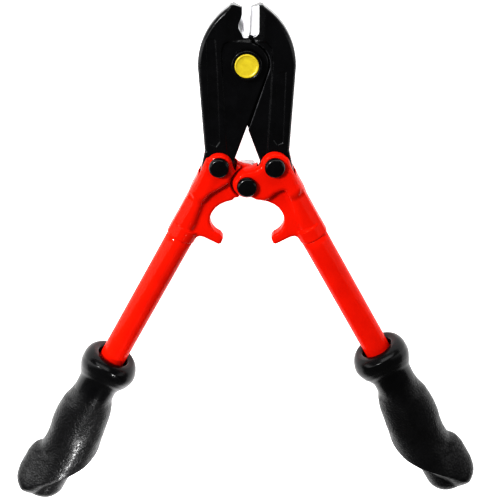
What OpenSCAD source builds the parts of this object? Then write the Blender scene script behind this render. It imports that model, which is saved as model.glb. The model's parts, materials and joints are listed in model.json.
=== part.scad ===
// Bolt cutters: two half-lapped jaw blades, two forked yokes, two tube handles with
// twisted rubber grips. The tool lies on its back. Origin: axis of the centre bolt on
// the resting plane; +X across the tool, +Y towards the jaws, +Z up through the bolts.

/* [Linkage] */
// Centre bolt to each blade bolt
link_r = 19.5; // [19.3:0.1:19.7]
// Blade bolt to jaw pivot
blade_l = 59.5; // [59:0.5:60]
// Rise of the line from the centre bolt to a blade bolt, as the handles stand
link_rise = 36.5; // [36:0.5:37]
// Lean of each handle from the centre line, as the handles stand
hand_lean = 28.25; // [28:0.25:28.5]
// Lean of each handle when the stops meet
shut_lean = 6.75; // [6.5:0.25:7]
// Turn of each blade between the standing pose and shut jaws
jaw_turn = 3.18; // [3.1:0.02:3.3]

/* [Blades] */
// Blade thickness
blade_t = 10; // [9.8:0.1:10]
// Radius of the half-lap disc round the jaw pivot
lap_r = 12.1; // [12:0.1:12.2]
// Radius of the outer curve of a jaw
jaw_r = 39.1; // [39:0.1:39.2]
// Lean of the inner edge of a blade arm
arm_lean = 20; // [19.5:0.5:20.5]
// Depth of the hollow in each blade face
web_depth = 0.8; // [0.5:0.1:1]
// Radius of the blade tail
tail_r = 8.5; // [8:0.1:8.6]

/* [Yokes] */
// Thickness over both cheeks of a yoke
yoke_t = 17.4; // [17.2:0.1:18]
// Thickness of the web and the stop tab
web_t = 9; // [8:0.5:10]
// Radius of the ear round a blade bolt
ear_r = 7.9; // [7.8:0.1:8.1]
// Radius of the ear round the centre bolt
centre_ear_r = 7.8; // [7.7:0.1:7.9]
// Radius of the round hollow under the centre bolt
hollow_r = 10; // [9.8:0.1:10.1]

/* [Handles] */
// Outer radius of the steel tube
tube_r = 7.95; // [7.8:0.05:8]
// Wall of the steel tube
tube_wall = 1.6; // [1.4:0.1:1.8]
// Distance of the tube axis from the centre bolt
tube_off = 17.9; // [17.8:0.1:18]
// Where the tube starts, measured along the handle from the centre bolt
tube_start = 49; // [48:0.5:50]
// Where the tube ends
tube_end = 236; // [230:1:240]
// Widest ring of the grip flange, measured along the handle
grip_at = 146.5; // [145:0.5:148]
// How much further down its tube the left grip sits than the right one
grip_stagger = 7; // [0:1:8]
// Length of the grip below the widest ring of its flange
grip_len = 110; // [109:1:111]
// Radius of the grip flange
flange_r = 17; // [16.5:0.1:17.1]

/* [Fasteners] */
// Shank radius of the three joint bolts
bolt_r = 4; // [3.9:0.05:4]
// Head radius of the three joint bolts
head_r = 5.7; // [5.6:0.1:5.8]
// Shank radius of the jaw pivot bolt
pivot_r = 6; // [5.9:0.05:6.1]
// Head radius of the jaw pivot bolt
pivot_head_r = 8.4; // [8.2:0.1:8.6]
// Radius of the yellow cap in the pivot head
cap_r = 6.6; // [6.4:0.1:6.8]

/* [Hidden] */
$fn = 64;

run_gap = 0.05;         // radial clearance of a turning bolt
fixed_gap = 0.02;       // radial clearance of a bolt that stays put
open_gap = 1.05;        // radial clearance of the bolt that closes the linkage
slide_gap = 0.2;        // clearance between a blade and a yoke cheek
lap_gap = 0.05;         // half the clearance between two lapped faces
eps = 0.01;

washer_t = 2;
nut_t = 6.5;
pivot_head_t = 3.4;
cap_seat = 1.7;         // floor of the recess that holds the cap
cap_t = 2;
mid_z = yoke_t / 2 + washer_t + nut_t;      // mid-plane of the tool above its resting plane
face_z = blade_t / 2;                       // blade face above the mid-plane
cheek_z = face_z + slide_gap;               // inner face of a yoke cheek
top_z = yoke_t / 2;                         // outer face of a yoke cheek
hollow_z = face_z - web_depth;              // floor of the hollow in a blade face

bolt_x = link_r * cos(link_rise);           // blade bolts from the centre line
bolt_y = link_r * sin(link_rise);           // blade bolts above the centre bolt
pivot_y = bolt_y + sqrt(blade_l * blade_l - bolt_x * bolt_x);

function polar(r, a) = [r * cos(a), r * sin(a)];
function arc(c, r, a0, a1, n) = [for (i = [0:n]) c + polar(r, a0 + (a1 - a0) * i / n)];

module slab(z0, z1) {
    translate([0, 0, mid_z + z0]) linear_extrude(z1 - z0) children();
}

module turned_over() {
    translate([0, 0, 2 * mid_z]) rotate([0, 180, 0]) children();
}

// ---- blades: drawn as the left one, jaw pivot at [0, pivot_y], lap to the front ----

tail_c = [-bolt_x, bolt_y - pivot_y];                   // blade bolt seen from the pivot
jaw_c = [12.4, -1.4];                                   // centre of the outer jaw curve
tip_y = 31;                                             // top of the jaw
throat_y = 15.2;                                        // bottom of the throat
bevel_low = 12.9;                                       // lower end of the ground bevels
edge_top = tip_y * tan(jaw_turn) + 0.25;                // cutting edge from the centre line
edge_low = throat_y * tan(jaw_turn) + 0.25;
heel = tail_c + [-10.8, -5.1];                          // outer corner of the tail
lap_side = polar(lap_r, -arm_lean);                     // where disc and arm edge meet
socket_r = lap_r + 0.4;                                 // pocket for the other disc
socket_lean = 18.4;                                     // lean of the pocket's side wall

module blade_outline() {
    polygon(concat(
        [[-edge_top, tip_y - 0.6], [-7, tip_y + 1.2], [-8.6, tip_y + 1]],
        arc(jaw_c, jaw_r, 124.5, 180, 14),
        [[-23.8, -50], heel],
        arc(tail_c, tail_r, -113, 12, 16),
        arc([0, 0], lap_r, -arm_lean, 75, 12),
        [[1.2, 14.6], [-edge_low, throat_y]]
    ));
}

// Pocket that leaves room for the other blade's disc and arm
module lap_pocket() {
    circle(socket_r);
    wall = polar(-socket_r, socket_lean);
    polygon([
        [-4.9, 11.3], [-3.4, 15], [8, 17], [25, -40],
        wall + 36.5 * [sin(socket_lean), -cos(socket_lean)], wall
    ]);
}

// Sloping cuts that sharpen one face of a jaw; land is the half thickness of the edge
module jaw_bevel(outer_x, inner_x, inner_z) {
    land = 0.25;
    run = tip_y + 4 - bevel_low;
    lean = atan((edge_top - edge_low) / (tip_y - throat_y));
    translate([-edge_low + 0.1, bevel_low, mid_z]) rotate([0, 0, lean]) rotate([-90, 0, 0])
        mirror([0, 1, 0]) linear_extrude(run) polygon([
            [outer_x, face_z], [inner_x, inner_z], [0, land], [0.3, land], [0.3, 9], [outer_x, 9]
        ]);
}

// Hollow between the ribs of one blade face
module web_hollow() {
    polygon([
        [-13.3, 5], [-12.2, 11], [-10, 12.4], [9.5, 12.4], [12.3, 5],
        [12.3, -8], [-1, -38], [-8, -53], [-10.8, -50]
    ]);
}

module blade_solid() {
    translate([0, pivot_y, 0]) difference() {
        slab(-face_z, face_z) blade_outline();
        slab(-face_z - eps, lap_gap) lap_pocket();
        slab(hollow_z, face_z + eps) web_hollow();
        slab(-face_z - eps, -hollow_z) web_hollow();
        jaw_bevel(-9.8, -2.9, 3.4);
        translate([0, 0, 2 * mid_z]) mirror([0, 0, 1]) jaw_bevel(-8.4, -5.3, 4.2);
        translate([0, 0, mid_z]) cylinder(h = 2 * face_z + 1, r = pivot_r + run_gap, center = true);
    }
}

module blade_bore(gap) {
    translate([-bolt_x, bolt_y, mid_z])
        cylinder(h = 2 * face_z + 1, r = bolt_r + gap, center = true);
}

module left_blade() color([0.06, 0.06, 0.07]) difference() {
    blade_solid();
    blade_bore(run_gap);
}

module right_blade() color([0.06, 0.06, 0.07]) turned_over() difference() {
    blade_solid();
    blade_bore(open_gap);
}

// ---- yokes: drawn as the right one in its handle's own frame, where the handle runs
// towards -Y at x = tube_off and the centre bolt is the origin ----

ear_c = polar(link_r, link_rise - hand_lean);           // blade bolt
fork_ear_r = ear_r - 0.9;                               // the same ear on the fork side
leg_w = 8.3;                                            // half width of the leg
tab_low = 42;                                           // lower edge of the stop tab
swing_clear = 9.6;                                      // room for the other yoke's ear
tail_clear = 12.8;                                      // room for the corner of the tail

module leg_outline(top) {
    polygon([
        [ear_c[0] + ear_r, ear_c[1]], [tube_off + leg_w, -12], [tube_off + leg_w, -44],
        [tube_off - 4, -44], [tube_off - 4, -36], [tube_off + 0.6, -15], [tube_off, top]
    ]);
}

// Raised plate over both ears, on the side where the centre ear lies
module lap_cheek() {
    circle(centre_ear_r);
    translate(ear_c) circle(ear_r);
    polygon([
        [2, centre_ear_r - 0.4], [6, 6.6], [9, 6.2], [11.5, 6.8], ear_c + [0, 2],
        [tube_off + 2, -13], [17.5, -12.6], [12, -12.3], [7, -13.5], [4.3, -13.2],
        [0.4, -10.6], [-1.2, -8.1]
    ]);
    leg_outline(-2);
}

// Raised plate round the blade bolt only, on the other side
module fork_cheek() difference() {
    union() {
        translate(ear_c) circle(fork_ear_r);
        polygon([
            ear_c + polar(fork_ear_r, 110), [13.4, 6.5], [9.4, 3.2], [8.7, -3],
            [11.4, -7.8], [15.5, -14.9], [18.6, -19.9], [tube_off + 3, -20], ear_c + [5, -2]
        ]);
        leg_outline(-2);
    }
    circle(swing_clear);
}

module web_outline() difference() {
    union() {
        lap_cheek();
        polygon([
            [2.4, -11.8], [17, -8], [tube_off + 2, -45], [tube_off - tube_r, -45],
            [9.6, -43.9], [8.4, -42.6], [6.3, -tab_low], [-3.4, -tab_low],
            [-(tab_low - 1.2) * tan(shut_lean), -tab_low + 1.2],
            [-37.6 * tan(shut_lean), -37.6], [-2.6, -36.2], [-2, -30], [-4, -20]
        ]);
    }
    translate([-1, -26]) circle(hollow_r);
    polygon([
        [-2.4, -8.6], [-9, -14], [-10, -34], [-2.6, -35.8], [-2, -26], [8.4, -22.6],
        [7.3, -19.2], [5.1, -16.2], [2.4, -13.6]
    ]);
}

module tail_slot() {
    translate(ear_c) {
        circle(tail_r + 1);
        intersection() {
            circle(tail_clear);
            rotate(-20 - hand_lean) translate([0, -20]) square([40, 40]);
        }
    }
}

module yoke_solid(centre_gap) difference() {
    union() {
        slab(web_t / 2, top_z) lap_cheek();
        slab(-web_t / 2, web_t / 2) web_outline();
        slab(-top_z, -web_t / 2) fork_cheek();
        translate([tube_off, -tube_start, mid_z]) rotate([-90, 0, 0])
            cylinder(h = 30, r = leg_w);
        translate([tube_off, -tube_start + eps, mid_z]) rotate([90, 0, 0])
            cylinder(h = 30, r = tube_r - tube_wall - run_gap);
    }
    slab(-cheek_z, cheek_z) tail_slot();
    slab(-top_z - 1, 2 * lap_gap) circle(swing_clear);
    translate([0, 0, mid_z]) cylinder(h = 30, r = bolt_r + centre_gap, center = true);
    translate([ear_c[0], ear_c[1], mid_z]) cylinder(h = 30, r = bolt_r + fixed_gap, center = true);
}

module right_hand() rotate(hand_lean) children();
module left_hand() turned_over() rotate(hand_lean) children();

module left_yoke() color([0.95, 0.1, 0.03]) left_hand() yoke_solid(fixed_gap);
module right_yoke() color([0.95, 0.1, 0.03]) right_hand() yoke_solid(run_gap);

// ---- tubes and grips, in the same handle frame ----

module tube() translate([tube_off, -tube_start, mid_z]) rotate([90, 0, 0]) difference() {
    cylinder(h = tube_end - tube_start, r = tube_r);
    translate([0, 0, -1]) cylinder(h = tube_end, r = tube_r - tube_wall);
}

module left_tube() color([0.95, 0.1, 0.03]) left_hand() tube();
module right_tube() color([0.95, 0.1, 0.03]) right_hand() tube();

// Value at g along a list of [g, value] stations, eased between them
function ease(t) = t * t * (3 - 2 * t);
function along(list, g, i = 0) =
    g <= list[0][0] ? list[0][1] :
    i >= len(list) - 1 ? list[len(list) - 1][1] :
    g <= list[i + 1][0]
        ? list[i][1] + (list[i + 1][1] - list[i][1])
            * ease((g - list[i][0]) / (list[i + 1][0] - list[i][0]))
        : along(list, g, i + 1);

// Rises from 0 to 1 while x goes from low to high
function rise(x, low, high) = ease(min(1, max(0, (x - low) / (high - low))));

// The grip: a round core under a flange, a wing winding round it and a palm lobe.
// Angles: 0 away from the other handle, 90 to the front of the tool.
core_at = [[-8.9, 12.8], [-7.6, 15], [-5.4, 16.3], [-2.6, flange_r - 0.1], [0.5, flange_r],
    [3.5, 16.5], [6.5, 15.4], [10, 13.8], [14, 12.8], [20, 12.5], [60, 12.8], [92, 13.3]];
guard_at = [[-8, 0], [-4, 0.6], [0, 1.4], [7, 1.6], [14, 0]];
wing_at = [[16, 0], [27, 2.8], [43, 6.1], [61, 8.7], [78, 5.2], [86, 4.5], [grip_len, 4.2]];
wing_turn = [[16, 215], [28, 194], [59, 182], [68, 165], [77, 134], [86, 96], [94, 70], [grip_len, 35]];
lobe_at = [[22, 0], [42, 2.9], [58, 0.9], [72, 0.4], [77, 4.4], [83, 5.6], [91, 5.4], [grip_len, 1.5]];
lobe_turn = [[22, 10], [50, 2], [72, 0], [84, 6], [94, 20], [104, 35]];
close_at = grip_len - 13;                               // the end rounds off below this

function off(a, turn) = (a - turn + 540) % 360 - 180;
function bump(d, w) = abs(d) >= w ? 0 : pow(cos(90 * d / w), 2);
// The wing is round at the top; further down it has a sharp crest
function crest(g, d) = min(pow(min(1, max(0, 1 + d / 105)), 1.5),
    1 - rise(d, -4, 54 - 24 * rise(g, 62, 82)));
function wing(g, d) = let (share = rise(g, 46, 64)) (1 - share) * bump(d, 80) + share * crest(g, d);
function grip_radius(g, a) = sqrt(1 - pow(max(0, (g - close_at) / (grip_len - close_at)), 2))
    * (along(core_at, g) + along(guard_at, g) * pow(max(0, -cos(a)), 2)
        + along(wing_at, g) * wing(g, off(a, along(wing_turn, g)))
        + along(lobe_at, g) * bump(off(a, along(lobe_turn, g)), 85 - 20 * rise(g, 66, 80)));
// On the front side the lower edge of the flange is drawn up towards the jaws
function lift(g, a) = 5 * pow(max(0, sin(a)), 2) * rise(g, -9, 1) * (1 - rise(g, 8, 26));

ring_n = 28;
ring_g = concat([-8.9, -7.6, -5.4, -2.6, 0.5, 3.5, 6.5, 10, 14], [for (g = [19:5:close_at]) g],
    [for (t = [0.25, 0.5, 0.7, 0.88, 0.985]) close_at + t * (grip_len - close_at)]);

module grip_skin() {
    rings = len(ring_g);
    pts = [for (g = ring_g, k = [0:ring_n - 1])
        let (a = 360 * k / ring_n, r = grip_radius(g, a)) [r * cos(a), lift(g, a) - g, r * sin(a)]];
    sides = [for (i = [0:rings - 2], k = [0:ring_n - 1])
        let (n = (k + 1) % ring_n, p = i * ring_n, q = p + ring_n)
        each [[p + k, q + k, q + n], [p + k, q + n, p + n]]];
    first = [for (k = [0:ring_n - 1]) k];
    last = [for (k = [ring_n - 1:-1:0]) (rings - 1) * ring_n + k];
    polyhedron(pts, concat(sides, [first], [last]));
}

module grip(shift) translate([tube_off, -grip_at - shift, mid_z]) difference() {
    grip_skin();
    translate([0, 10, 0]) rotate([90, 0, 0])
        cylinder(h = 10 + tube_end - grip_at - shift + 1, r = tube_r + run_gap);
    translate([0, 9, 0]) rotate([90, 0, 0]) cylinder(h = 5, r1 = 10.6, r2 = tube_r);
}

// the grips are a mirrored pair
module left_grip() color([0.1, 0.1, 0.1]) mirror([1, 0, 0]) right_hand() grip(grip_stagger / 2);
module right_grip() color([0.1, 0.1, 0.1]) right_hand() grip(-grip_stagger / 2);

// ---- fasteners: each stands on its own axis, heads to the front ----

module at(p) translate([p[0], p[1], 0]) children();

module domed_bolt() {
    translate([0, 0, mid_z + top_z]) rotate_extrude() polygon([
        [0, 0], [head_r, 0], [head_r, 2.3], [head_r - 0.9, 3.5], [head_r - 2.6, 4], [0, 4.1]
    ]);
    cylinder(h = mid_z + top_z + eps, r = bolt_r);
}

module spring_washer() translate([0, 0, nut_t]) difference() {
    cylinder(h = washer_t, r = 6.9);
    translate([0, 0, -1]) cylinder(h = washer_t + 2, r = bolt_r + 0.1);
    rotate(200) translate([0, -0.5, -1]) cube([9, 1, washer_t + 2]);
}

module hex_nut(bottom, height, across, bore) {
    corner = across / sqrt(3);
    edge = corner - across / 2;
    translate([0, 0, bottom]) difference() {
        intersection() {
            cylinder(h = height, r = corner, $fn = 6);
            rotate_extrude() polygon([
                [0, 0], [across / 2, 0], [corner, edge * 0.6],
                [corner, height - edge * 0.6], [across / 2, height], [0, height]
            ]);
        }
        translate([0, 0, -1]) cylinder(h = height + 2, r = bore);
    }
}

left_at = [-bolt_x, bolt_y];
right_at = [bolt_x, bolt_y];
pivot_at = [0, pivot_y];

module left_blade_bolt() color([0.07, 0.07, 0.08]) at(left_at) domed_bolt();
module right_blade_bolt() color([0.07, 0.07, 0.08]) at(right_at) domed_bolt();
module centre_bolt() color([0.07, 0.07, 0.08]) domed_bolt();
module left_blade_washer() color([0.4, 0.4, 0.42]) at(left_at) spring_washer();
module right_blade_washer() color([0.4, 0.4, 0.42]) at(right_at) spring_washer();
module centre_washer() color([0.4, 0.4, 0.42]) spring_washer();
module left_blade_nut() color([0.3, 0.3, 0.32]) at(left_at) hex_nut(0, nut_t, 13, bolt_r);
module right_blade_nut() color([0.3, 0.3, 0.32]) at(right_at) hex_nut(0, nut_t, 13, bolt_r);
module centre_nut() color([0.3, 0.3, 0.32]) hex_nut(0, nut_t, 13, bolt_r);

pivot_nut_t = 9.5;
pivot_low = mid_z - hollow_z - washer_t - pivot_nut_t;  // lower face of the pivot nut

module pivot_bolt() color([0.07, 0.07, 0.08]) at(pivot_at) {
    translate([0, 0, pivot_low - 1]) cylinder(h = mid_z + hollow_z - pivot_low + 1 + eps, r = pivot_r);
    translate([0, 0, mid_z + hollow_z]) difference() {
        cylinder(h = pivot_head_t, r = pivot_head_r);
        translate([0, 0, cap_seat]) cylinder(h = pivot_head_t, r = cap_r + 0.25);
    }
}

module pivot_cap() color([0.98, 0.85, 0.1]) at(pivot_at)
    translate([0, 0, mid_z + hollow_z + cap_seat]) rotate_extrude() polygon([
        [0, 0], [cap_r, 0], [cap_r, cap_t - 0.3], [cap_r - 0.3, cap_t],
        [cap_r - 1.2, cap_t], [cap_r - 2, cap_t - 0.25], [0, cap_t - 0.3]
    ]);

module pivot_washer() color([0.4, 0.4, 0.42]) at(pivot_at)
    translate([0, 0, mid_z - hollow_z - washer_t]) difference() {
        cylinder(h = washer_t, r = 11);
        translate([0, 0, -1]) cylinder(h = washer_t + 2, r = pivot_r + 0.1);
    }

module pivot_nut() color([0.3, 0.3, 0.32]) at(pivot_at) hex_nut(pivot_low, pivot_nut_t, 18, pivot_r);

left_blade();
right_blade();
pivot_bolt();
pivot_cap();
pivot_washer();
pivot_nut();
left_blade_bolt();
left_blade_washer();
left_blade_nut();
right_blade_bolt();
right_blade_washer();
right_blade_nut();
centre_bolt();
centre_washer();
centre_nut();
left_yoke();
right_yoke();
left_tube();
right_tube();
left_grip();
right_grip();
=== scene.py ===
"""Looks of the bolt cutters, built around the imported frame.

Shapes are worked out in millimetres and turned into metres when a mesh is made. Blades, yokes,
nuts and washers are signed distance fields (negative inside) that mesh_of() turns into smooth
meshes. Bolts, tubes and the cap are turned by lathe(), and the grips are built ring by ring.
What comes in pairs is drawn once, then turned over or mirrored for the other side.
"""
import json
import math

import bpy
import numpy as np
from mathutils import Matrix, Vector


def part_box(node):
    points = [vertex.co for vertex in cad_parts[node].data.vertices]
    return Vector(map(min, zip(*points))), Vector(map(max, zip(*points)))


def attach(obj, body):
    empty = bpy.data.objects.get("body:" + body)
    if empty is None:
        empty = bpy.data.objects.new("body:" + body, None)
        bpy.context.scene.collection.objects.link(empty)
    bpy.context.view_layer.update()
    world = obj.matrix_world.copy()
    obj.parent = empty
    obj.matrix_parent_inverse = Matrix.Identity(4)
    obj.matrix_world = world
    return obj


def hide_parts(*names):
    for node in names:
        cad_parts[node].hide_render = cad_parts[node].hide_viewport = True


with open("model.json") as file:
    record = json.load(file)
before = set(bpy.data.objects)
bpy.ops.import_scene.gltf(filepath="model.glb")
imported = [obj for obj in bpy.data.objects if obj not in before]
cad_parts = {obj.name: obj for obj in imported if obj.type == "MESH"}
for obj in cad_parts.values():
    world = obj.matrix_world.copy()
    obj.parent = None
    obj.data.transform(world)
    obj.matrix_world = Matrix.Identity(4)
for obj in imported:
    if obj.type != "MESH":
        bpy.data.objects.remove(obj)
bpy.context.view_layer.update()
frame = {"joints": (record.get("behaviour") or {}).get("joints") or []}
MM = 0.001
CELL = 0.4       # grid of the forged parts

# ---- places, from the frame, and sizes ----

joint_at = {j["name"]: np.array(j["pos_m"]) / MM for j in frame["joints"]}
LEFT_BOLT = joint_at["left_blade_hinge"]
CENTRE = joint_at["handle_swing"]
PIVOT = joint_at["jaw_pivot"]
RIGHT_BOLT = LEFT_BOLT * [-1, 1, 1]
MID_Z = CENTRE[2]


def node_z(node):
    """Lowest and highest z of a CAD node."""
    low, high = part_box(node)
    return low.z / MM, high.z / MM


LINK_R = math.hypot(LEFT_BOLT[0], LEFT_BOLT[1])
LINK_RISE = math.degrees(math.atan2(LEFT_BOLT[1], -LEFT_BOLT[0]))
HAND_LEAN = 28.25                       # lean of each handle from the centre line
TUBE_OFF = 17.9                         # tube axis from the centre bolt
TUBE_START = 49.0
TUBE_END = 236.0
TUBE_R = 7.95
TUBE_WALL = 1.6
TUBE_FIT = 0.05                         # between a tube and the grip on it
BOLT_R = 4.0                            # joint bolts
PIVOT_R = 6.0
RUN_FIT = 0.05                          # round a bolt that turns in its hole
TIGHT_FIT = 0.02                        # round a bolt that stays put in its hole
OPEN_PLAY = 1.0                         # more room in the right tail's hole, where the loop is open
GRIP_AT = {"left": 150.0, "right": 143.0}       # flange of each grip, along its handle
FACE_Z = (node_z("left_blade")[1] - node_z("left_blade")[0]) / 2    # half a blade's thickness
TOP_Z = (node_z("left_yoke")[1] - node_z("left_yoke")[0]) / 2       # half a yoke's thickness
TAIL = np.array([LEFT_BOLT[0], LEFT_BOLT[1] - PIVOT[1]])        # seen from the jaw pivot

# ---- distance fields ----


def smax(a, b, k):
    """The larger of two distances, with the corner between them rounded over k."""
    h = np.clip(k - np.abs(a - b), 0, None) / k
    return np.maximum(a, b) + h * h * k / 4


def smin(a, b, k):
    return -smax(-a, -b, k)


def bevelled(a, b, leg, k=0.5):
    """Both of two faces, with a flat chamfer of that leg between them."""
    return smax(smax(a, b, k), (a + b + leg) / math.sqrt(2), k)


def step(x, low, high):
    """0 up to low, 1 from high on, and smooth between."""
    t = np.clip((x - low) / (high - low), 0, 1)
    return t * t * (3 - 2 * t)


def disc(x, y, at, r):
    return np.hypot(x - at[0], y - at[1]) - r


def outline(x, y, points):
    """Signed distance to a closed outline."""
    x, y = np.broadcast_arrays(x, y)
    near = np.full(x.shape, 1e9)
    inside = np.zeros(x.shape, bool)
    for (x0, y0), (x1, y1) in zip(points, points[1:] + points[:1]):
        ex, ey = x1 - x0, y1 - y0
        wx, wy = x - x0, y - y0
        t = np.clip((wx * ex + wy * ey) / (ex * ex + ey * ey), 0, 1)
        near = np.minimum(near, (wx - ex * t) ** 2 + (wy - ey * t) ** 2)
        if ey:
            inside ^= ((y0 > y) != (y1 > y)) & (x < ex * (y - y0) / ey + x0)
    return np.where(inside, -1, 1) * np.sqrt(near)


def polar(r, degrees):
    return (r * math.cos(math.radians(degrees)), r * math.sin(math.radians(degrees)))


def arc(at, r, start, end, n):
    return [tuple(np.array(at) + polar(r, start + (end - start) * i / n)) for i in range(n + 1)]


EDGES = [(a, b) for a in range(8) for b in range(a + 1, 8) if bin(a ^ b).count("1") == 1]


def corner(i):
    """One of the eight corners of a cell, as 0 or 1 along each axis."""
    return np.array([i & 1, i >> 1 & 1, i >> 2 & 1])


def shifted(grid, off):
    """For every cell of the grid, the value at the corner of it that off names."""
    return grid[tuple(slice(o, n - 1 + o) for o, n in zip(off, grid.shape))]


def on_surface(field, points, cell, passes=3):
    """Moves points onto the surface, and returns them with the outward normals."""
    h = 0.02
    for _ in range(passes):
        p = points.T
        f = field(*p)
        grad = np.stack([field(*(p + h * np.eye(3)[:, [i]])) - field(*(p - h * np.eye(3)[:, [i]]))
                         for i in range(3)], 1) / (2 * h)
        size = np.maximum(np.linalg.norm(grad, axis=1, keepdims=True), 0.3)
        move = np.clip(f[:, None] * grad / size ** 2, -0.4 * cell, 0.4 * cell)
        points = points - move
    return points, grad / size


def mesh_of(field, low, high, cell):
    """Vertices, normals and quads of the surface where the field is zero (surface nets)."""
    axes = [np.arange(a - cell * 1.5, b + cell * 1.5, cell) for a, b in zip(low, high)]
    grid = np.meshgrid(*axes, indexing="ij", sparse=True)
    f = np.array(np.broadcast_to(field(*grid), [len(a) for a in axes]), float)
    f[f == 0] = 1e-9
    solid = f < 0
    count = sum(shifted(solid, corner(i)).astype(np.int8) for i in range(8))
    active = (count > 0) & (count < 8)
    index = np.full(active.shape, -1)
    index[active] = np.arange(active.sum())
    cells = np.stack(np.nonzero(active), 1)
    total = np.zeros((len(cells), 3))
    hits = np.zeros((len(cells), 1))
    for a, b in EDGES:
        fa = f[tuple((cells + corner(a)).T)]
        fb = f[tuple((cells + corner(b)).T)]
        hit = ((fa < 0) != (fb < 0))[:, None]
        t = np.where(hit[:, 0], fa / np.where(fa == fb, 1, fa - fb), 0)[:, None]
        total += np.where(hit, corner(a) + t * (corner(b) - corner(a)), 0)
        hits += hit
    points = (total / hits + cells) * cell + [a[0] for a in axes]
    quads = []
    for d in range(3):
        u, v = (d + 1) % 3, (d + 2) % 3
        here = np.take(solid, range(solid.shape[d] - 1), d)
        there = np.take(solid, range(1, solid.shape[d]), d)
        at = np.stack(np.nonzero(here != there), 1)
        at = at[(at[:, u] > 0) & (at[:, v] > 0)]
        at = at[(at[:, u] < index.shape[u]) & (at[:, v] < index.shape[v])]
        ring = []
        for du, dv in ((-1, -1), (0, -1), (0, 0), (-1, 0)):
            c = at.copy()
            c[:, u] += du
            c[:, v] += dv
            ring.append(index[tuple(c.T)])
        quad = np.stack(ring, 1)
        outward = here[tuple(at.T)]
        quads.append(np.where(outward[:, None], quad, quad[:, ::-1]))
    points, normals = on_surface(field, points, cell)
    return points, normals, np.concatenate(quads)


# ---- meshes ----


def piece(name, points, faces, body, material, slot, nodes, **masks):
    """A mesh object in metres that rides on a body and stands for CAD nodes. masks are
    values per vertex that its material reads."""
    mesh = bpy.data.meshes.new(name)
    mesh.from_pydata((np.asarray(points) * MM).tolist(), [], [list(map(int, f)) for f in faces])
    mesh.validate()
    for key, values in masks.items():
        data = mesh.attributes.new(key, "FLOAT", "POINT").data
        data.foreach_set("value", np.asarray(values, np.float32))
    mesh.polygons.foreach_set("use_smooth", [True] * len(mesh.polygons))
    mesh.materials.append(material)
    obj = bpy.data.objects.new(name, mesh)
    bpy.context.scene.collection.objects.link(obj)
    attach(obj, body)
    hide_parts(*nodes)


def turned_over(points):
    """Turned half round the tool's long axis, about its mid-plane at z = 0."""
    return points * [-1, 1, -1]


def from_pivot(points):
    return points + [0, PIVOT[1], MID_Z]


def from_hand(points):
    """From the right handle's own frame, with the handle along -y, to that of the whole tool."""
    a = math.radians(HAND_LEAN)
    turn = np.array([[math.cos(a), -math.sin(a), 0], [math.sin(a), math.cos(a), 0], [0, 0, 1]])
    return points @ turn.T


def convexity(field, points, normals, reach=0.9):
    """0 on flat and hollow places, up to 1 on a sharp outer edge, felt reach under the skin."""
    return np.clip(1 + field(*(points - reach * normals).T) / reach, 0, 1)


def lathe(profile, n, closed=False):
    """Turns an outline of (radius, height) points about +z. Unless closed, its two ends lie
    on the axis."""
    points, faces = [], []
    rings = profile if closed else profile[1:-1]
    for r, h in rings:
        points += [(r * math.cos(2 * math.pi * k / n), r * math.sin(2 * math.pi * k / n), h)
                   for k in range(n)]
    for i in range(len(rings) if closed else len(rings) - 1):
        j = (i + 1) % len(rings)
        faces += [(i * n + k, i * n + (k + 1) % n, j * n + (k + 1) % n, j * n + k) for k in range(n)]
    if not closed:
        last = (len(rings) - 1) * n
        for centre, base, turn in ((profile[0], 0, -1), (profile[-1], last, 1)):
            points.append((0, 0, centre[1]))
            tip = len(points) - 1
            faces += [(base + k, base + (k + 1) % n, tip)[::turn] for k in range(n)]
    return np.array(points, float), faces


def rounded(points, r, n=5):
    """An outline of (x, y) points with its corners, but not its two ends, rounded off."""
    points = np.array(points, float)
    result = [tuple(points[0])]
    for before, p, after in zip(points, points[1:], points[2:]):
        sides = (before - p, after - p)
        cut = [d / np.linalg.norm(d) * min(r, np.linalg.norm(d) * 0.45) for d in sides]
        result += [tuple(p + cut[0] * (1 - t) ** 2 + cut[1] * t * t) for t in np.linspace(0, 1, n)]
    return result + [tuple(points[-1])]


# ---- materials ----


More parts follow.
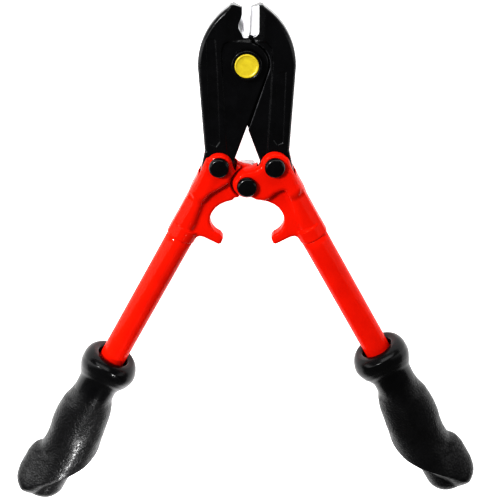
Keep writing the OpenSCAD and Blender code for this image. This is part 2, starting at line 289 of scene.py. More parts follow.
class Nodes:
    """Short names for making a procedural material."""

    def __init__(self, name, colour, roughness, metallic=0.0, **sockets):
        self.material = bpy.data.materials.new(name)
        self.material.use_nodes = True
        self.material.diffuse_color = (*colour, 1)
        self.tree = self.material.node_tree
        self.shader = self.tree.nodes["Principled BSDF"]
        self.shader.inputs["Base Color"].default_value = (*colour, 1)
        self.shader.inputs["Roughness"].default_value = roughness
        self.shader.inputs["Metallic"].default_value = metallic
        for key, value in sockets.items():
            self.shader.inputs[key.replace("_", " ")].default_value = value
        self.place = self.tree.nodes.new("ShaderNodeTexCoord").outputs["Object"]

    def node(self, kind, links=(), **settings):
        n = self.tree.nodes.new("ShaderNode" + kind)
        for key, value in settings.items():
            setattr(n, key, value)
        for socket, value in dict(links).items():
            if isinstance(value, bpy.types.NodeSocket):
                self.tree.links.new(value, n.inputs[socket])
            else:
                n.inputs[socket].default_value = value
        return n

    def noise(self, size_mm, detail=3.0, stretch=(1, 1, 1)):
        """Noise from 0 to 1 whose blobs are about size_mm across, and longer along an axis
        whose stretch is below 1."""
        place = self.node("Mapping", {"Vector": self.place, "Scale": stretch})
        n = self.node("TexNoise", {"Vector": place.outputs[0], "Scale": 1 / (size_mm * MM),
                                   "Detail": detail})
        return n.outputs["Fac"]

    def cells(self, size_mm):
        """Distance from the middle of rounded cells about size_mm across."""
        n = self.node("TexVoronoi", {"Vector": self.place, "Scale": 1 / (size_mm * MM)},
                      feature="SMOOTH_F1")
        return n.outputs["Distance"]

    def mask(self, key):
        """The value per vertex that piece() stored under that name."""
        return self.node("Attribute", attribute_name=key).outputs["Fac"]

    def spread(self, value, low, high, out_low=0.0, out_high=1.0):
        """Value stretched so that low to high becomes out_low to out_high, and held there."""
        n = self.node("MapRange", {"Value": value, "From Min": low, "From Max": high,
                                   "To Min": out_low, "To Max": out_high})
        return n.outputs["Result"]

    def math(self, kind, a, b):
        return self.node("Math", {0: a, 1: b}, operation=kind).outputs[0]

    def mix(self, share, a, b):
        """Colour a where share is 0, b where it is 1."""
        n = self.node("Mix", data_type="RGBA")
        for i, value in ((0, share), (6, a), (7, b)):
            if isinstance(value, bpy.types.NodeSocket):
                self.tree.links.new(value, n.inputs[i])
            else:
                n.inputs[i].default_value = value if i == 0 else (*value, 1)
        return n.outputs[2]

    def feed(self, socket, value):
        self.tree.links.new(value, self.shader.inputs[socket])

    def bump(self, height, depth_mm, strength=1.0, under=None):
        n = self.node("Bump", {"Height": height, "Strength": strength, "Distance": depth_mm * MM})
        if under is not None:
            self.tree.links.new(under, n.inputs["Normal"])
        return n.outputs["Normal"]


def black_paint():
    """Baked black paint on the forged blades, ground bright on the inner cutting bevels, and grey on
    sharp outer edges, partly as wear and partly as a painted highlight.
    """
    m = Nodes("black_paint", (0.005, 0.005, 0.006), 0.24, Specular_IOR_Level=0.4)
    # grey along sharp outer edges: partly rubbed paint, partly a painted highlight in place of edge
    # glints
    wear = m.math("MULTIPLY", m.spread(m.mask("edge"), 0.18, 0.5), m.spread(m.noise(6), 0.42, 0.62))
    paint = m.mix(m.spread(m.noise(9), 0.3, 0.75), (0.0025, 0.0025, 0.003), (0.0055, 0.0055, 0.0065))
    worn_and_highlit = m.mix(m.math("MULTIPLY", wear, 0.45), paint, (0.16, 0.16, 0.17))
    ground = m.spread(m.mask("ground"), -0.09, -0.03)
    grind = m.noise(0.5, stretch=(0.12, 1, 0.12), detail=4)
    steel = m.mix(grind, (0.8, 0.8, 0.82), (0.95, 0.95, 0.96))
    m.feed("Base Color", m.mix(ground, worn_and_highlit, steel))
    m.feed("Metallic", ground)
    rough = m.spread(m.noise(2.2), 0.3, 0.7, 0.2, 0.3)
    m.feed("Roughness", m.mix(ground, m.node("CombineXYZ", {0: rough, 1: rough, 2: rough}).outputs[0],
                              (0.3, 0.3, 0.3)))
    skin = m.bump(m.noise(1.3, detail=2), 0.03, 0.55)
    m.feed("Normal", m.bump(m.noise(0.6), 0.008, 0.5, under=skin))
    return m.material


def red_paint():
    """Glossy red powder coat with a faint orange peel."""
    m = Nodes("red_paint", (0.78, 0.0165, 0.0027), 0.24, Specular_IOR_Level=0.03, Coat_Weight=0.16,
              Coat_Roughness=0.05)
    colour = m.mix(m.spread(m.noise(14), 0.3, 0.7), (0.74, 0.0145, 0.0023), (0.83, 0.0185, 0.003))
    wear = m.math("MULTIPLY", m.spread(m.mask("edge"), 0.35, 0.7), m.spread(m.noise(4), 0.5, 0.7))
    m.feed("Base Color", m.mix(m.math("MULTIPLY", wear, 0.5), colour, (0.5, 0.008, 0.002)))
    m.feed("Roughness", m.spread(m.noise(3), 0.3, 0.7, 0.2, 0.3))
    peel = m.bump(m.noise(2.4, detail=1.5), 0.06, 0.35)
    m.feed("Normal", m.bump(m.noise(0.5), 0.008, 0.3, under=peel))
    return m.material


def rubber():
    """Moulded black rubber, pebbled where the hand holds it and smooth on the flange."""
    m = Nodes("rubber", (0.006, 0.006, 0.0065), 0.36, Specular_IOR_Level=0.25, Coat_Roughness=0.25)
    grain = m.spread(m.mask("grain"), 0.1, 0.9)
    m.feed("Base Color", m.mix(m.spread(m.noise(11), 0.3, 0.7),
                               (0.004, 0.004, 0.0044), (0.008, 0.008, 0.0085)))
    sheen = m.math("MULTIPLY", grain, 0.2)
    m.feed("Roughness", m.math("ADD", m.spread(m.noise(5), 0.3, 0.7, 0.18, 0.26), sheen))
    pebbles = m.math("MULTIPLY", m.spread(m.cells(1.15), 0.1, 0.62, 1.0, 0.0), grain)
    m.feed("Coat Weight", m.math("MULTIPLY", pebbles, 0.5))
    coarse = m.bump(pebbles, 0.24, 0.85)
    m.feed("Normal", m.bump(m.noise(0.7), 0.03, 0.5, under=coarse))
    return m.material


def black_oxide():
    """Dark steel of the bolts, a little uneven."""
    m = Nodes("black_oxide", (0.004, 0.004, 0.005), 0.22, Specular_IOR_Level=0.35)
    m.feed("Base Color", m.mix(m.noise(3), (0.002, 0.002, 0.0025), (0.006, 0.006, 0.007)))
    m.feed("Roughness", m.spread(m.noise(1.4), 0.3, 0.7, 0.17, 0.28))
    m.feed("Normal", m.bump(m.noise(1.1, detail=2), 0.03, 0.5))
    return m.material


def zinc():
    """Zinc-plated steel, a little mottled."""
    m = Nodes("zinc", (0.6, 0.6, 0.61), 0.34, metallic=1.0)
    m.feed("Base Color", m.mix(m.spread(m.noise(2.5), 0.35, 0.7), (0.5, 0.5, 0.5), (0.68, 0.68, 0.7)))
    m.feed("Roughness", m.spread(m.noise(0.9), 0.3, 0.7, 0.26, 0.44))
    m.feed("Normal", m.bump(m.noise(0.4, stretch=(1, 0.15, 1)), 0.012, 0.5))
    return m.material


def yellow_plastic():
    """The moulded cap."""
    m = Nodes("yellow_plastic", (0.58, 0.46, 0.03), 0.3, Coat_Weight=0.2)
    m.feed("Base Color", m.mix(m.spread(m.noise(3.5), 0.35, 0.7), (0.7, 0.57, 0.035), (0.6, 0.47, 0.025)))
    m.feed("Roughness", m.spread(m.noise(1.5), 0.3, 0.7, 0.26, 0.42))
    m.feed("Normal", m.bump(m.noise(1.6, detail=2), 0.05, 0.5))
    return m.material


BLACK = black_paint()
RED = red_paint()
RUBBER = rubber()
OXIDE = black_oxide()
ZINC = zinc()
YELLOW = yellow_plastic()

# ---- blades: the left one, seen from the jaw pivot, with its lap to the front ----

JAW_TURN = 3.18                         # from the standing pose to shut jaws
TIP_Y = 31.0
THROAT_Y = 14.6
LAND = 0.25                             # half thickness of the cutting edge
LAP_R = 12.1
SOCKET_R = 12.5
ARM_LEAN = 20.0
TAIL_R = 8.5
WEB_DEPTH = 0.8
PIVOT_HEAD_R = 8.4


def edge_x(y):
    """The cutting edge, which stands away from the centre line until the jaws shut."""
    return -LAND - np.clip(y, THROAT_Y, None) * math.tan(math.radians(JAW_TURN))


BLADE = (
    [(float(edge_x(TIP_Y)), TIP_Y - 0.6), (-7, TIP_Y + 1.2), (-8.6, TIP_Y + 1)]
    + arc((12.4, -1.4), 39.1, 124.5, 180, 14)
    + [(-23.8, -50), tuple(TAIL + (-10.8, -5.1))]
    + arc(TAIL, TAIL_R, -113, 12, 16)
    + arc((0, 0), LAP_R, -ARM_LEAN, 75, 12)
    + [(1.2, 14.1), (float(edge_x(THROAT_Y)), THROAT_Y)]
)
SOCKET_LEAN = 18.4
POCKET_LOW = tuple(np.array(polar(-SOCKET_R, SOCKET_LEAN)) + polar(36.5, SOCKET_LEAN - 90))
POCKET = [(-4.9, 11.3), (-3.4, 15), (8, 17), (25, -40), POCKET_LOW, polar(-SOCKET_R, SOCKET_LEAN)]
FRONT_WEB = [(-13.6, 6.5), (-12.4, 11.2), (-9.8, 12.6), (9.5, 12.6), (12.6, 5), (12.6, -8),
             (-0.6, -38), (-8, -56), (-11.2, -52), (-12.6, -19.4)]
BACK_WEB = [(-13.9, 2), (-13.2, 9), (-10.5, 12.4), (9.5, 12.4), (12.6, 5), (12.6, -8),
            (-0.6, -38), (-8, -56), (-11.2, -52), (-13, -19.4)]
FRONT_PANEL = [(-21.8, 13.5), (-17, 14.5), (-16.2, 0), (-15.2, -44), (-17.2, -47), (-20.6, -45.5),
               (-21.3, -20)]
BACK_PANEL = [(-21.2, -3.5), (-16.6, -4.5), (-15.9, -20), (-14.9, -43), (-17, -46), (-20.2, -44.5)]


# The duller ground strip of a jaw: its inner and outer side, as distances from the cutting
# edge, and the height of the inner side above the mid-plane
FRONT_STRIP = (2.9, 9.8, 3.4)
BACK_STRIP = (5.3, 8.4, 4.2)


def sharpened(x, y, z, width, inner, outer, inner_z):
    """The strip and the bright bevel of one face of a jaw, as distances, for z towards that
    face. The bevel reaches from the cutting edge as far as width."""
    fade = step(y, 11.4, 13.6)
    away = edge_x(y) - x
    rise = (FACE_Z - inner_z) / (outer - inner)
    strip = z - (FACE_Z + fade * (inner_z + rise * (away - inner) - FACE_Z))
    slope = (inner_z + rise * (width - inner) - LAND) / width
    bright = (z - LAND - slope * away) / np.sqrt(1 + slope ** 2)
    return strip, np.minimum(bright, 1) - 9 * (1 - step(y, 13.4, 14.4))


def front_width(y):
    """Width of the bright bevel on the front."""
    return 0.62 + 2.45 * np.exp(-((y - 20.6) / 4.4) ** 2)


def back_width(y):
    """Width of the bright bevel on the back, which ends in an arc."""
    low = np.clip((18.4 - y) / 4.6, 0, 0.97)
    return 6.5 * np.sqrt(1 - low * low) + edge_x(y)


def ground_faces(x, y, z):
    """The strips of a jaw, then its bright bevels, each as front and back."""
    front = sharpened(x, y, z, front_width(y), *FRONT_STRIP)
    back = sharpened(x, y, -z, back_width(y), *BACK_STRIP)
    return (front[0], back[0]), (front[1], back[1])


def blade_field(x, y, z, tail_hole):
    side = outline(x, y, BLADE)
    outer = step(-x, 6, 9) * step(y, -54, -46)
    height = {}
    for way, web, panel in ((1, FRONT_WEB, FRONT_PANEL), (-1, BACK_WEB, BACK_PANEL)):
        depth = WEB_DEPTH * step(-outline(x, y, web), -0.7, 0.5)
        sunk = 0.4 * step(-outline(x, y, panel), -0.3, 0.3)
        height[way] = FACE_Z - np.maximum(depth, sunk)
    f = side
    for way in (1, -1):
        face = way * z - height[way]
        f = np.where(outer > 0.5, bevelled(f, face, 1.5), bevelled(f, face, 0.7))
    jaw = step(y, 11.2, 11.8)
    strips, bevels = ground_faces(x, y, z)
    for cut in strips + bevels:
        f = smax(f, np.where(jaw > 0, cut, -9), 0.12)
    pocket = np.minimum(disc(x, y, (0, 0), SOCKET_R), outline(x, y, POCKET))
    f = smax(f, -smax(pocket, z - 0.05, 0.1), 0.3)
    f = smax(f, -disc(x, y, (0, 0), PIVOT_R + RUN_FIT), 0.2)
    return smax(f, -disc(x, y, TAIL, tail_hole), 0.2)


def blades():
    low, high = (-27.5, -68, -FACE_Z), (13, 32, FACE_Z)
    for name, body, play in (("left_blade", "left_jaw", 0), ("right_blade", "right_jaw", OPEN_PLAY)):
        hole = BOLT_R + RUN_FIT + play

        def field(x, y, z):
            return blade_field(x, y, z, hole)

        points, normals, faces = mesh_of(field, low, high, CELL)
        edge = convexity(field, points, normals)
        _, bevels = ground_faces(*points.T)
        ground = np.maximum(*bevels)
        place = points if name == "left_blade" else turned_over(points)
        piece(name + "_forging", from_pivot(place), faces, body, BLACK, "black_paint", [name],
              edge=edge, ground=ground)


# ---- yokes: the right one, in its handle's own frame ----

EAR = polar(LINK_R, LINK_RISE - HAND_LEAN)      # blade bolt
EAR_R = 7.9
FORK_EAR_R = 7.0                        # the same ear on the fork side
CENTRE_EAR_R = 7.8
LEG_W = 8.3
WEB_Z = 4.5                             # half thickness of the web and the stop tab
SHUT_LEAN = math.radians(6.75)          # lean of a handle when the stop tabs meet
TAB_LOW = 42.0                          # ends of the stop tab, below the centre bolt
TAB_HIGH = 37.6
TAB_GAP = 0.2                           # its face stands this far back
SWING_CLEAR = 9.6                       # room round the other yoke's centre ear
TAIL_CLEAR = 1.3                        # room round the tail's round end in the slot
TAIL_SWEEP = 13.1                       # reach of the tail's corners in the slot
PLATE_ROLL = 3.2                        # the rounded edge of the raised plates
PLATE_END = 19.0                        # the plates end about here, below the centre bolt
CHEEK_Z = FACE_Z + 0.2                  # half width of the slot for the tail
LEG = [(EAR[0] + EAR_R, EAR[1]), (TUBE_OFF + LEG_W, -12), (TUBE_OFF + LEG_W, -50),
       (TUBE_OFF - 3.4, -50), (TUBE_OFF - 3.4, -36), (TUBE_OFF + 0.4, -15), (TUBE_OFF, -2)]
LAP_CHEEK = [(2, CENTRE_EAR_R - 0.4), (6, 6.6), (9, 6.2), (11.5, 6.8), (EAR[0], EAR[1] + 2),
             (TUBE_OFF + 2, -13), (17.5, -12.6), (12, -12.3), (7, -13.5), (4.3, -13.2),
             (0.4, -10.6), (-1.2, -8.1)]
FORK_CHEEK = [tuple(np.add(EAR, polar(FORK_EAR_R, 110))), (13.4, 6.5), (9.4, 3.2), (8.7, -3),
              (11.4, -7.8), (15.5, -14.9), (18.6, -19.9), (TUBE_OFF + 3, -20), (EAR[0] + 5, EAR[1] - 2)]
WEB = [(2.4, -11.8), (8.5, 4), (17, -8), (TUBE_OFF + 2, -45), (TUBE_OFF - TUBE_R, -45),
       (9.6, -43.9), (8.4, -42.6), (6.3, -TAB_LOW), (-3.4, -TAB_LOW),
       (TAB_GAP - (TAB_LOW - 1.2) * math.tan(SHUT_LEAN), -TAB_LOW + 1.2),
       (TAB_GAP - TAB_HIGH * math.tan(SHUT_LEAN), -TAB_HIGH), (-2.6, -36.2), (-2, -30), (-4, -20)]
HOLLOW_AT = (-1, -26)
HOLLOW_R = 10.0
HOLLOW_SIDE = [(-2.4, -8.6), (-9, -14), (-10, -34), (-2.6, -35.8), (-2, -26), (8.4, -22.6),
               (7.3, -19.2), (5.1, -16.2), (2.4, -13.6)]


def yoke_field(x, y, z):
    ears = disc(x, y, EAR, EAR_R)
    centre_ear = disc(x, y, (0, 0), CENTRE_EAR_R)
    leg_side = outline(x, y, LEG)
    lap = smin(smin(centre_ear, ears, 1.5), outline(x, y, LAP_CHEEK), 1.2)
    lap = smin(lap, leg_side, 2)
    fork = smin(smin(ears + EAR_R - FORK_EAR_R, outline(x, y, FORK_CHEEK), 1.2), leg_side, 2)
    fork = smax(fork, -disc(x, y, (0, 0), SWING_CLEAR), 0.5)
    web = smin(lap, outline(x, y, WEB), 1.5)
    hollow = smin(disc(x, y, HOLLOW_AT, HOLLOW_R), outline(x, y, HOLLOW_SIDE), 1.0)
    web = smax(web, -hollow, 1.2)

    # the raised plates, whose top falls off into the round leg
    down = step(-y, 14, 46)
    top = TOP_Z - (TOP_Z - LEG_W) * down
    round_leg = np.hypot(x - TUBE_OFF, z * (LEG_W / top)) - LEG_W
    leg = smax(smax(leg_side, np.abs(z) - top, PLATE_ROLL), round_leg, 4.0)
    up_plate = smax(lap, z - TOP_Z, PLATE_ROLL)
    up_plate = smax(up_plate, -z + 1, 0.2)
    low_plate = smax(fork, -z - TOP_Z, PLATE_ROLL)
    low_plate = smax(low_plate, z + 1, 0.2)
    past_end = smax(-y - PLATE_END, -9 + 0 * z, 0.1)
    up_plate = smax(up_plate, past_end, 4)
    low_plate = smax(low_plate, past_end - 2, 4)
    sheet = smax(web, np.abs(z) - WEB_Z, 2.2)
    f = smin(smin(up_plate, low_plate, 0.4), leg, 3.0)
    f = smin(f, sheet, 2.6)

    # the collar that the tube slips into
    end = smax(-y - TUBE_START, y + TUBE_START - 8, 0.5)
    collar = smax(np.hypot(x - TUBE_OFF, z) - LEG_W - 0.1, end, 0.9)
    f = smax(f, -y - TUBE_START, 0.9)
    f = smin(f, collar, 0.8)

    # slot for the blade's tail, room for the other yoke's ear, and the bolt holes
    away_x, away_y = x - EAR[0], y - EAR[1]
    a = math.radians(-ARM_LEAN - HAND_LEAN)
    across = away_x * math.cos(a) + away_y * math.sin(a)
    away = np.hypot(away_x, away_y)
    slot = np.minimum(away - TAIL_R - TAIL_CLEAR, np.maximum(away - TAIL_SWEEP, -across))
    f = smax(f, -smax(slot, np.abs(z) - CHEEK_Z, 0.2), 0.5)
    f = smax(f, -smax(disc(x, y, (0, 0), SWING_CLEAR), z - 0.1, 0.2), 0.4)
    f = smax(f, -disc(x, y, (0, 0), BOLT_R + RUN_FIT), 0.3)
    return smax(f, -disc(x, y, EAR, BOLT_R + TIGHT_FIT), 0.3)


def yokes():
    low, high = (-9, -TUBE_START, -TOP_Z), (30, 13, TOP_Z)
    points, normals, faces = mesh_of(yoke_field, low, high, CELL)
    edge = convexity(yoke_field, points, normals)
    right = from_hand(points)
    for side, place in (("right", right), ("left", turned_over(right))):
        piece(side + "_yoke_forging", place + [0, 0, MID_Z], faces, side + "_handle", RED,
              "red_paint", [side + "_yoke"], edge=edge)


# ---- tubes and grips, in the right handle's frame; the left ones are mirrored ----


def along_handle(points):
    """From (across, front, along) about the tube axis to the frame of the whole tool."""
    p = np.stack([points[:, 0] + TUBE_OFF, -points[:, 2], points[:, 1]], 1)
    return from_hand(p) + [0, 0, MID_Z]


def side_of(side, points, faces):
    """The right handle's points, or their mirror image with the faces turned round."""
    if side == "right":
        return points, faces
    return points * [-1, 1, 1], [f[::-1] for f in faces]


def tubes():
    inner = TUBE_R - TUBE_WALL
    run = list(np.linspace(TUBE_START + 0.3, TUBE_END - 0.3, 40))
    profile = [(inner, TUBE_START), (TUBE_R - 0.3, TUBE_START)] + [(TUBE_R, h) for h in run]
    profile += [(TUBE_R - 0.3, TUBE_END), (inner, TUBE_END)]
    points, faces = lathe(profile[::-1], 96, closed=True)
    for side in ("left", "right"):
        p, f = side_of(side, along_handle(points), faces)
        piece(side + "_tube_steel", p, f, side + "_handle", RED, "red_paint", [side + "_tube"],
              edge=np.zeros(len(p)))


def curve(stations, g):
    """A smooth line through (g, value) stations, without overshoot."""
    s = np.array(stations, float)
    x, y = s[:, 0], s[:, 1]
    slope = np.diff(y) / np.diff(x)
    flat = slope[:-1] * slope[1:] <= 0
    mean = 2 * slope[:-1] * slope[1:] / np.where(flat, 1, slope[:-1] + slope[1:])
    m = np.concatenate([[slope[0]], np.where(flat, 0, mean), [slope[-1]]])
    g = np.clip(g, x[0], x[-1])
    i = np.clip(np.searchsorted(x, g) - 1, 0, len(x) - 2)
    h = x[i + 1] - x[i]
    t = (g - x[i]) / h
    return (y[i] * (2 * t ** 3 - 3 * t ** 2 + 1) + h * m[i] * (t ** 3 - 2 * t ** 2 + t)
            + y[i + 1] * (3 * t ** 2 - 2 * t ** 3) + h * m[i + 1] * (t ** 3 - t ** 2))


# Stations of a grip, in mm below the widest ring of its flange
GRIP_LEN = 110.0
CLOSE_AT = 97.0                         # the end rounds off from here
BORE_END = 80.0
LIP = [(-5.0, 8.6), (-7.6, 9.3), (-8.8, 10.8), (-8.9, 12.8), (-7.8, 14.8), (-5.6, 16.2),
       (-2.8, 16.9), (0.5, 17.0), (3.5, 16.5), (6.0, 15.6)]
CORE = [(6, 15.6), (8, 14.8), (11, 13.4), (14, 12.8), (20, 12.5), (60, 12.8), (92, 13.3), (110, 13.3)]
GUARD = [(-8, 0), (-4, 0.6), (0, 1.4), (7, 1.6), (14, 0)]
WING = [(16, 0), (22, 0.8), (27, 2.8), (34, 4.8), (43, 6.1), (53, 7.5), (61, 8.7), (70, 7.3), (78, 5.2),
        (86, 4.5), (94, 4.9), (102, 4.8), (110, 4.2)]
WING_TURN = [(16, 215), (28, 194), (45, 188), (59, 182), (68, 165), (77, 134), (86, 96), (94, 70),
             (102, 52), (110, 35)]
LOBE = [(22, 0), (27, 0.8), (33, 2.5), (42, 2.9), (50, 2.4), (58, 0.9), (66, 0.2), (72, 0.4), (77, 4.4),
        (83, 5.6), (91, 5.4), (95, 4.7), (101, 3.2), (110, 1.5)]
LOBE_TURN = [(22, 10), (50, 2), (72, 0), (84, 6), (94, 20), (104, 35)]


def lifted(g, a):
    """Draws the lower edge of the flange up towards the jaws on the front side."""
    front = np.clip(np.sin(np.radians(a)), 0, None) ** 2
    return g - 5 * front * step(g, -9, 1) * (1 - step(g, 8, 26))


def guard(g, a):
    """The flange reaches further out towards the other handle."""
    return curve(GUARD, g) * np.clip(-np.cos(np.radians(a)), 0, None) ** 2


def grip_radius(g, a):
    """Radius of the grip at g below its flange; a = 0 faces away from the other handle, 90
    the front. A wing winds round it, and its crest is sharp in the lower half."""
    away = (a - curve(WING_TURN, g) + 180) % 360 - 180
    soft = np.where(np.abs(away) < 80, np.cos(np.radians(90 * np.clip(away / 80, -1, 1))) ** 2, 0)
    above = np.clip(1 + away / 105, 0, 1) ** 1.5
    below = 1 - step(away, -4, 54 - 24 * step(g, 62, 82))
    share = step(g, 46, 64)
    wing = curve(WING, g) * (soft + share * (np.minimum(above, below) - soft))
    aside = (a - curve(LOBE_TURN, g) + 180) % 360 - 180
    reach = 85 - 20 * step(g, 66, 80)
    lobe = np.cos(np.radians(90 * np.clip(aside / reach, -1, 1))) ** 2
    close = np.sqrt(1 - np.clip((g - CLOSE_AT) / (GRIP_LEN - CLOSE_AT), 0, 1) ** 2)
    return (curve(CORE, g) + guard(g, a) + wing + curve(LOBE, g) * lobe) * close


def grip_mesh():
    """Rings from the end of the bore, out round the lip and down the outside."""
    n = 240
    a = np.arange(n) * 360 / n
    bore = TUBE_R + TUBE_FIT
    rings = [(np.full(n, g), np.full(n, bore)) for g in (BORE_END, BORE_END / 2, 0)]
    rings.append((np.full(n, -3.0), np.full(n, bore + 0.1)))
    where = np.linspace(0, len(LIP) - 1, 44)
    lip_g = curve([(i, p[0]) for i, p in enumerate(LIP)], where)
    lip_r = curve([(i, p[1]) for i, p in enumerate(LIP)], where)
    rings += [(lifted(np.full(n, g), a), r + guard(np.full(n, g), a)) for g, r in zip(lip_g, lip_r)]
    smooth_end = len(rings)
    ending = 1 - np.sin(np.linspace(0.03, 0.497, 40) * math.pi)
    run = np.concatenate([np.linspace(6.6, CLOSE_AT, 180), GRIP_LEN - (GRIP_LEN - CLOSE_AT) * ending])
    rings += [(lifted(np.full(n, g), a), grip_radius(np.full(n, g), a)) for g in run]
    points = np.concatenate([
        np.stack([r * np.cos(np.radians(a)), r * np.sin(np.radians(a)), g], 1) for g, r in rings])
    faces = []
    for i in range(len(rings) - 1):
        j = i + 1
        faces += [(i * n + k, i * n + (k + 1) % n, j * n + (k + 1) % n, j * n + k) for k in range(n)]
    first, last = len(points), (len(rings) - 1) * n
    points = np.concatenate([points, [(0, 0, BORE_END), (0, 0, run[-1] + 0.02)]])
    faces += [(k, first, (k + 1) % n) for k in range(n)]
    faces += [(last + k, last + (k + 1) % n, first + 1) for k in range(n)]
    grain = step(points[:, 2], 12, 30)
    grain[:smooth_end * n] = 0
    return points, faces, grain


def grips():
    points, faces, grain = grip_mesh()
    for side in ("left", "right"):
        p, f = side_of(side, along_handle(points + [0, 0, GRIP_AT[side]]), faces)
        piece(side + "_grip_rubber", p, f, side + "_handle", RUBBER, "rubber", [side + "_grip"],
              grain=grain)


# ---- fasteners ----

BOLT_HEAD_R = 5.7
CAP_R = 6.6
CAP_GAP = 0.25
WASHER_IN = 4.1
WASHER_OUT = 6.9
PIVOT_WASHER_OUT = 11.0
JOINT_NUT = 13.0                        # across flats
PIVOT_NUT = 18.0


def bolts():
    """Three alike: a shank with a chamfered end under a domed head with a flat middle."""
    base, top = TOP_Z, node_z("centre_bolt")[1] - MID_Z
    shank = BOLT_R - RUN_FIT
    rise = top - base
    profile = [(0, -MID_Z), (3.3, -MID_Z), (shank, -MID_Z + 0.7), (shank, base),
               (BOLT_HEAD_R - 0.15, base), (BOLT_HEAD_R, base + 0.25), (BOLT_HEAD_R, base + 1.6)]
    profile += [(BOLT_HEAD_R - 1.8 * (1 - math.cos(t)), base + 1.7 + (rise - 2.15) * math.sin(t))
                for t in np.linspace(0.12, math.pi / 2, 10)]
    profile += [(3.3, top - 0.41), (2.4, top - 0.28), (1.2, top - 0.08), (0, top)]
    points, faces = lathe(profile, 64)
    for name, at, body in (("left_blade_bolt", LEFT_BOLT, "left_handle"),
                           ("right_blade_bolt", RIGHT_BOLT, "right_handle"),
                           ("centre_bolt", CENTRE, "left_handle")):
        piece(name + "_steel", points + at, faces, body, OXIDE, "black_oxide", [name])


def pivot_parts():
    low, high = (z - MID_Z for z in node_z("pivot_bolt"))
    seat = FACE_Z - WEB_DEPTH
    cap_low, cap_high = (z - MID_Z for z in node_z("pivot_cap"))
    ring_in = CAP_R + CAP_GAP
    profile = [(0, low), (PIVOT_R - 0.8, low), (PIVOT_R, low + 0.8), (PIVOT_R, seat),
               (PIVOT_HEAD_R, seat), (PIVOT_HEAD_R, high - 0.9)]
    profile += [(PIVOT_HEAD_R - 0.55 * (1 - math.cos(t)), high - 0.9 + 0.9 * math.sin(t))
                for t in np.linspace(0.3, math.pi / 2, 6)]
    profile += [(ring_in + 0.1, high), (ring_in, high - 0.15), (ring_in, cap_low), (0, cap_low)]
    points, faces = lathe(profile, 96)
    piece("pivot_bolt_steel", points + PIVOT, faces, "left_jaw", OXIDE, "black_oxide",
          ["pivot_bolt"])

    # a rolled rim round a shallow dish
    profile = [(0, cap_low), (CAP_R - 0.2, cap_low), (CAP_R, cap_low + 0.2), (CAP_R, cap_high - 0.45),
               (CAP_R - 0.15, cap_high - 0.12), (CAP_R - 0.5, cap_high), (CAP_R - 0.9, cap_high - 0.05),
               (CAP_R - 1.2, cap_high - 0.3), (CAP_R - 1.5, cap_high - 0.42), (3, cap_high - 0.38),
               (0, cap_high - 0.34)]
    points, faces = lathe(profile, 96)
    piece("pivot_cap_moulding", points + PIVOT, faces, "left_jaw", YELLOW, "yellow_plastic",
          ["pivot_cap"])

    low, high = (z - MID_Z for z in node_z("pivot_washer"))
    inner = PIVOT_R + 0.1
    outer = PIVOT_WASHER_OUT
    profile = rounded([(inner, low), (outer, low), (outer, high), (inner, high)], 0.25)
    points, faces = lathe(profile, 96, closed=True)
    piece("pivot_washer_steel", points + PIVOT, faces, "left_jaw", ZINC, "zinc",
          ["pivot_washer"])


def nut_field(height, across, bore):
    """A hexagon nut about the origin, its corners turned down and its bore countersunk."""
    def field(x, y, z):
        slant = math.sqrt(0.75)
        flats = np.maximum(np.abs(y), np.maximum(np.abs(x * slant + y / 2),
                                                 np.abs(x * slant - y / 2))) - across / 2
        r = np.hypot(x, y)
        f = smax(flats, np.abs(z) - height / 2, 0.25)
        cone = (r - across / 2 + (np.abs(z) - height / 2) * 1.7) / 1.97
        f = smax(f, cone, 0.2)
        sink = (bore + 0.7 - r - (height / 2 - np.abs(z))) / 1.41
        return smax(f, np.maximum(bore - r, sink), 0.15)

    return field


def washer_field(height):
    """A spring washer about the origin, cut through by one slanted gap."""
    def field(x, y, z):
        ring = np.abs(np.hypot(x, y) - (WASHER_OUT + WASHER_IN) / 2) - (WASHER_OUT - WASHER_IN) / 2
        f = smax(ring, np.abs(z) - height / 2, 0.4)
        slanted = np.abs(y * 0.94 + x * 0.34 + z * 0.35) - 0.5
        return smax(f, -np.maximum(slanted, x), 0.2)

    return field


def nuts_and_washers():
    cell = 0.3
    at = {"left_blade": (LEFT_BOLT, "left_handle"), "right_blade": (RIGHT_BOLT, "right_handle"),
          "centre": (CENTRE, "left_handle"), "pivot": (PIVOT, "left_jaw")}
    for kind, (place, body) in at.items():
        low, high = node_z(kind + "_nut")
        across, bore = (PIVOT_NUT, PIVOT_R) if kind == "pivot" else (JOINT_NUT, BOLT_R)
        corner_r = across / math.sqrt(3)
        size = (corner_r, corner_r, (high - low) / 2)
        points, _, faces = mesh_of(nut_field(high - low, across, bore), np.negative(size), size, cell)
        there = points + [place[0], place[1], (low + high) / 2]
        piece(kind + "_nut_steel", there, faces, body, ZINC, "zinc", [kind + "_nut"])
        if kind == "pivot":
            continue
        low, high = node_z(kind + "_washer")
        size = (WASHER_OUT + 0.1, WASHER_OUT + 0.1, (high - low) / 2)
        points, _, faces = mesh_of(washer_field(high - low), np.negative(size), size, cell)
        there = points + [place[0], place[1], (low + high) / 2]
        piece(kind + "_washer_steel", there, faces, body, ZINC, "zinc", [kind + "_washer"])


blades()
yokes()
tubes()
grips()
bolts()
pivot_parts()
nuts_and_washers()

# ---- floor, light and camera ----


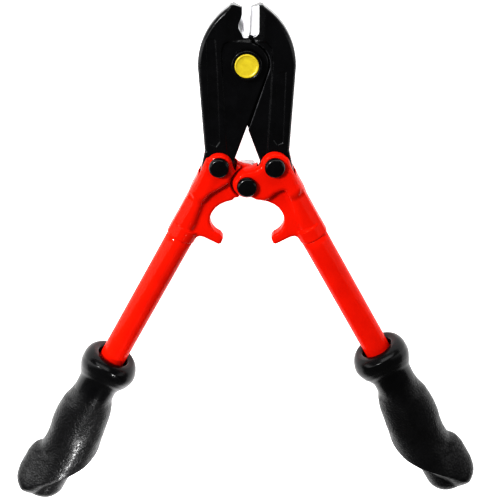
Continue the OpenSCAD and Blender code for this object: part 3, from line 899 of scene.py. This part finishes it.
def floor():
    size = 6.0
    mesh = bpy.data.meshes.new("floor")
    corners = [(-size, -size, 0), (size, -size, 0), (size, size, 0), (-size, size, 0)]
    mesh.from_pydata(corners, [], [(0, 1, 2, 3)])
    m = Nodes("floor", (0.95, 0.95, 0.95), 0.9, Emission_Strength=0.8, Emission_Color=(1, 1, 1, 1))
    mesh.materials.append(m.material)
    obj = bpy.data.objects.new("floor", mesh)
    bpy.context.scene.collection.objects.link(obj)


def lamp(name, at, aim, size, watts, spread=180):
    """A rectangular lamp; spread is the width of its beam in degrees."""
    data = bpy.data.lights.new(name, "AREA")
    data.shape = "RECTANGLE"
    data.size, data.size_y = size
    data.energy = watts
    data.spread = math.radians(spread)
    obj = bpy.data.objects.new(name, data)
    obj.location = at
    obj.rotation_euler = (Vector(aim) - Vector(at)).to_track_quat("-Z", "Y").to_euler()
    bpy.context.scene.collection.objects.link(obj)


def camera():
    """Looks down at the tool, with the jaws at the top of the picture."""
    tilt = math.radians(25.5)           # from straight above towards the jaws
    distance = 0.6254
    aim = Vector((0.00169, -0.04399, MID_Z * MM))
    data = bpy.data.cameras.new("camera")
    data.lens = 76.32
    data.sensor_width = 36
    obj = bpy.data.objects.new("camera", data)
    obj.location = aim + distance * Vector((0, math.sin(tilt), math.cos(tilt)))
    obj.rotation_euler = (-tilt, 0, 0)
    bpy.context.scene.collection.objects.link(obj)
    bpy.context.scene.camera = obj


def studio():
    """A high key lamp at the left, soft ones round it, and a narrow beam on the left grip."""
    middle = (0, -0.03, 0)
    left_grip = (-0.11, -0.22, 0)
    lamp("key", (-0.62, 0.5, 0.8), middle, (0.2, 0.2), 8.5)
    lamp("left", (-0.95, 0.05, 0.5), middle, (0.4, 1.1), 3)
    lamp("right", (1.0, 0.1, 0.45), middle, (0.4, 1.1), 1.5)
    lamp("front", (0.11, -0.62, 0.78), left_grip, (0.14, 0.14), 0.09, spread=16)
    lamp("back", (0.0, 1.1, 0.55), middle, (1.4, 0.35), 5)
    world = bpy.data.worlds.new("studio")
    world.use_nodes = True
    background = world.node_tree.nodes["Background"]
    background.inputs["Color"].default_value = (1, 1, 1, 1)
    background.inputs["Strength"].default_value = 0.12
    bpy.context.scene.world = world
    bpy.context.scene.view_settings.view_transform = "Standard"
    bpy.context.scene.view_settings.look = "High Contrast"


floor()
studio()
camera()
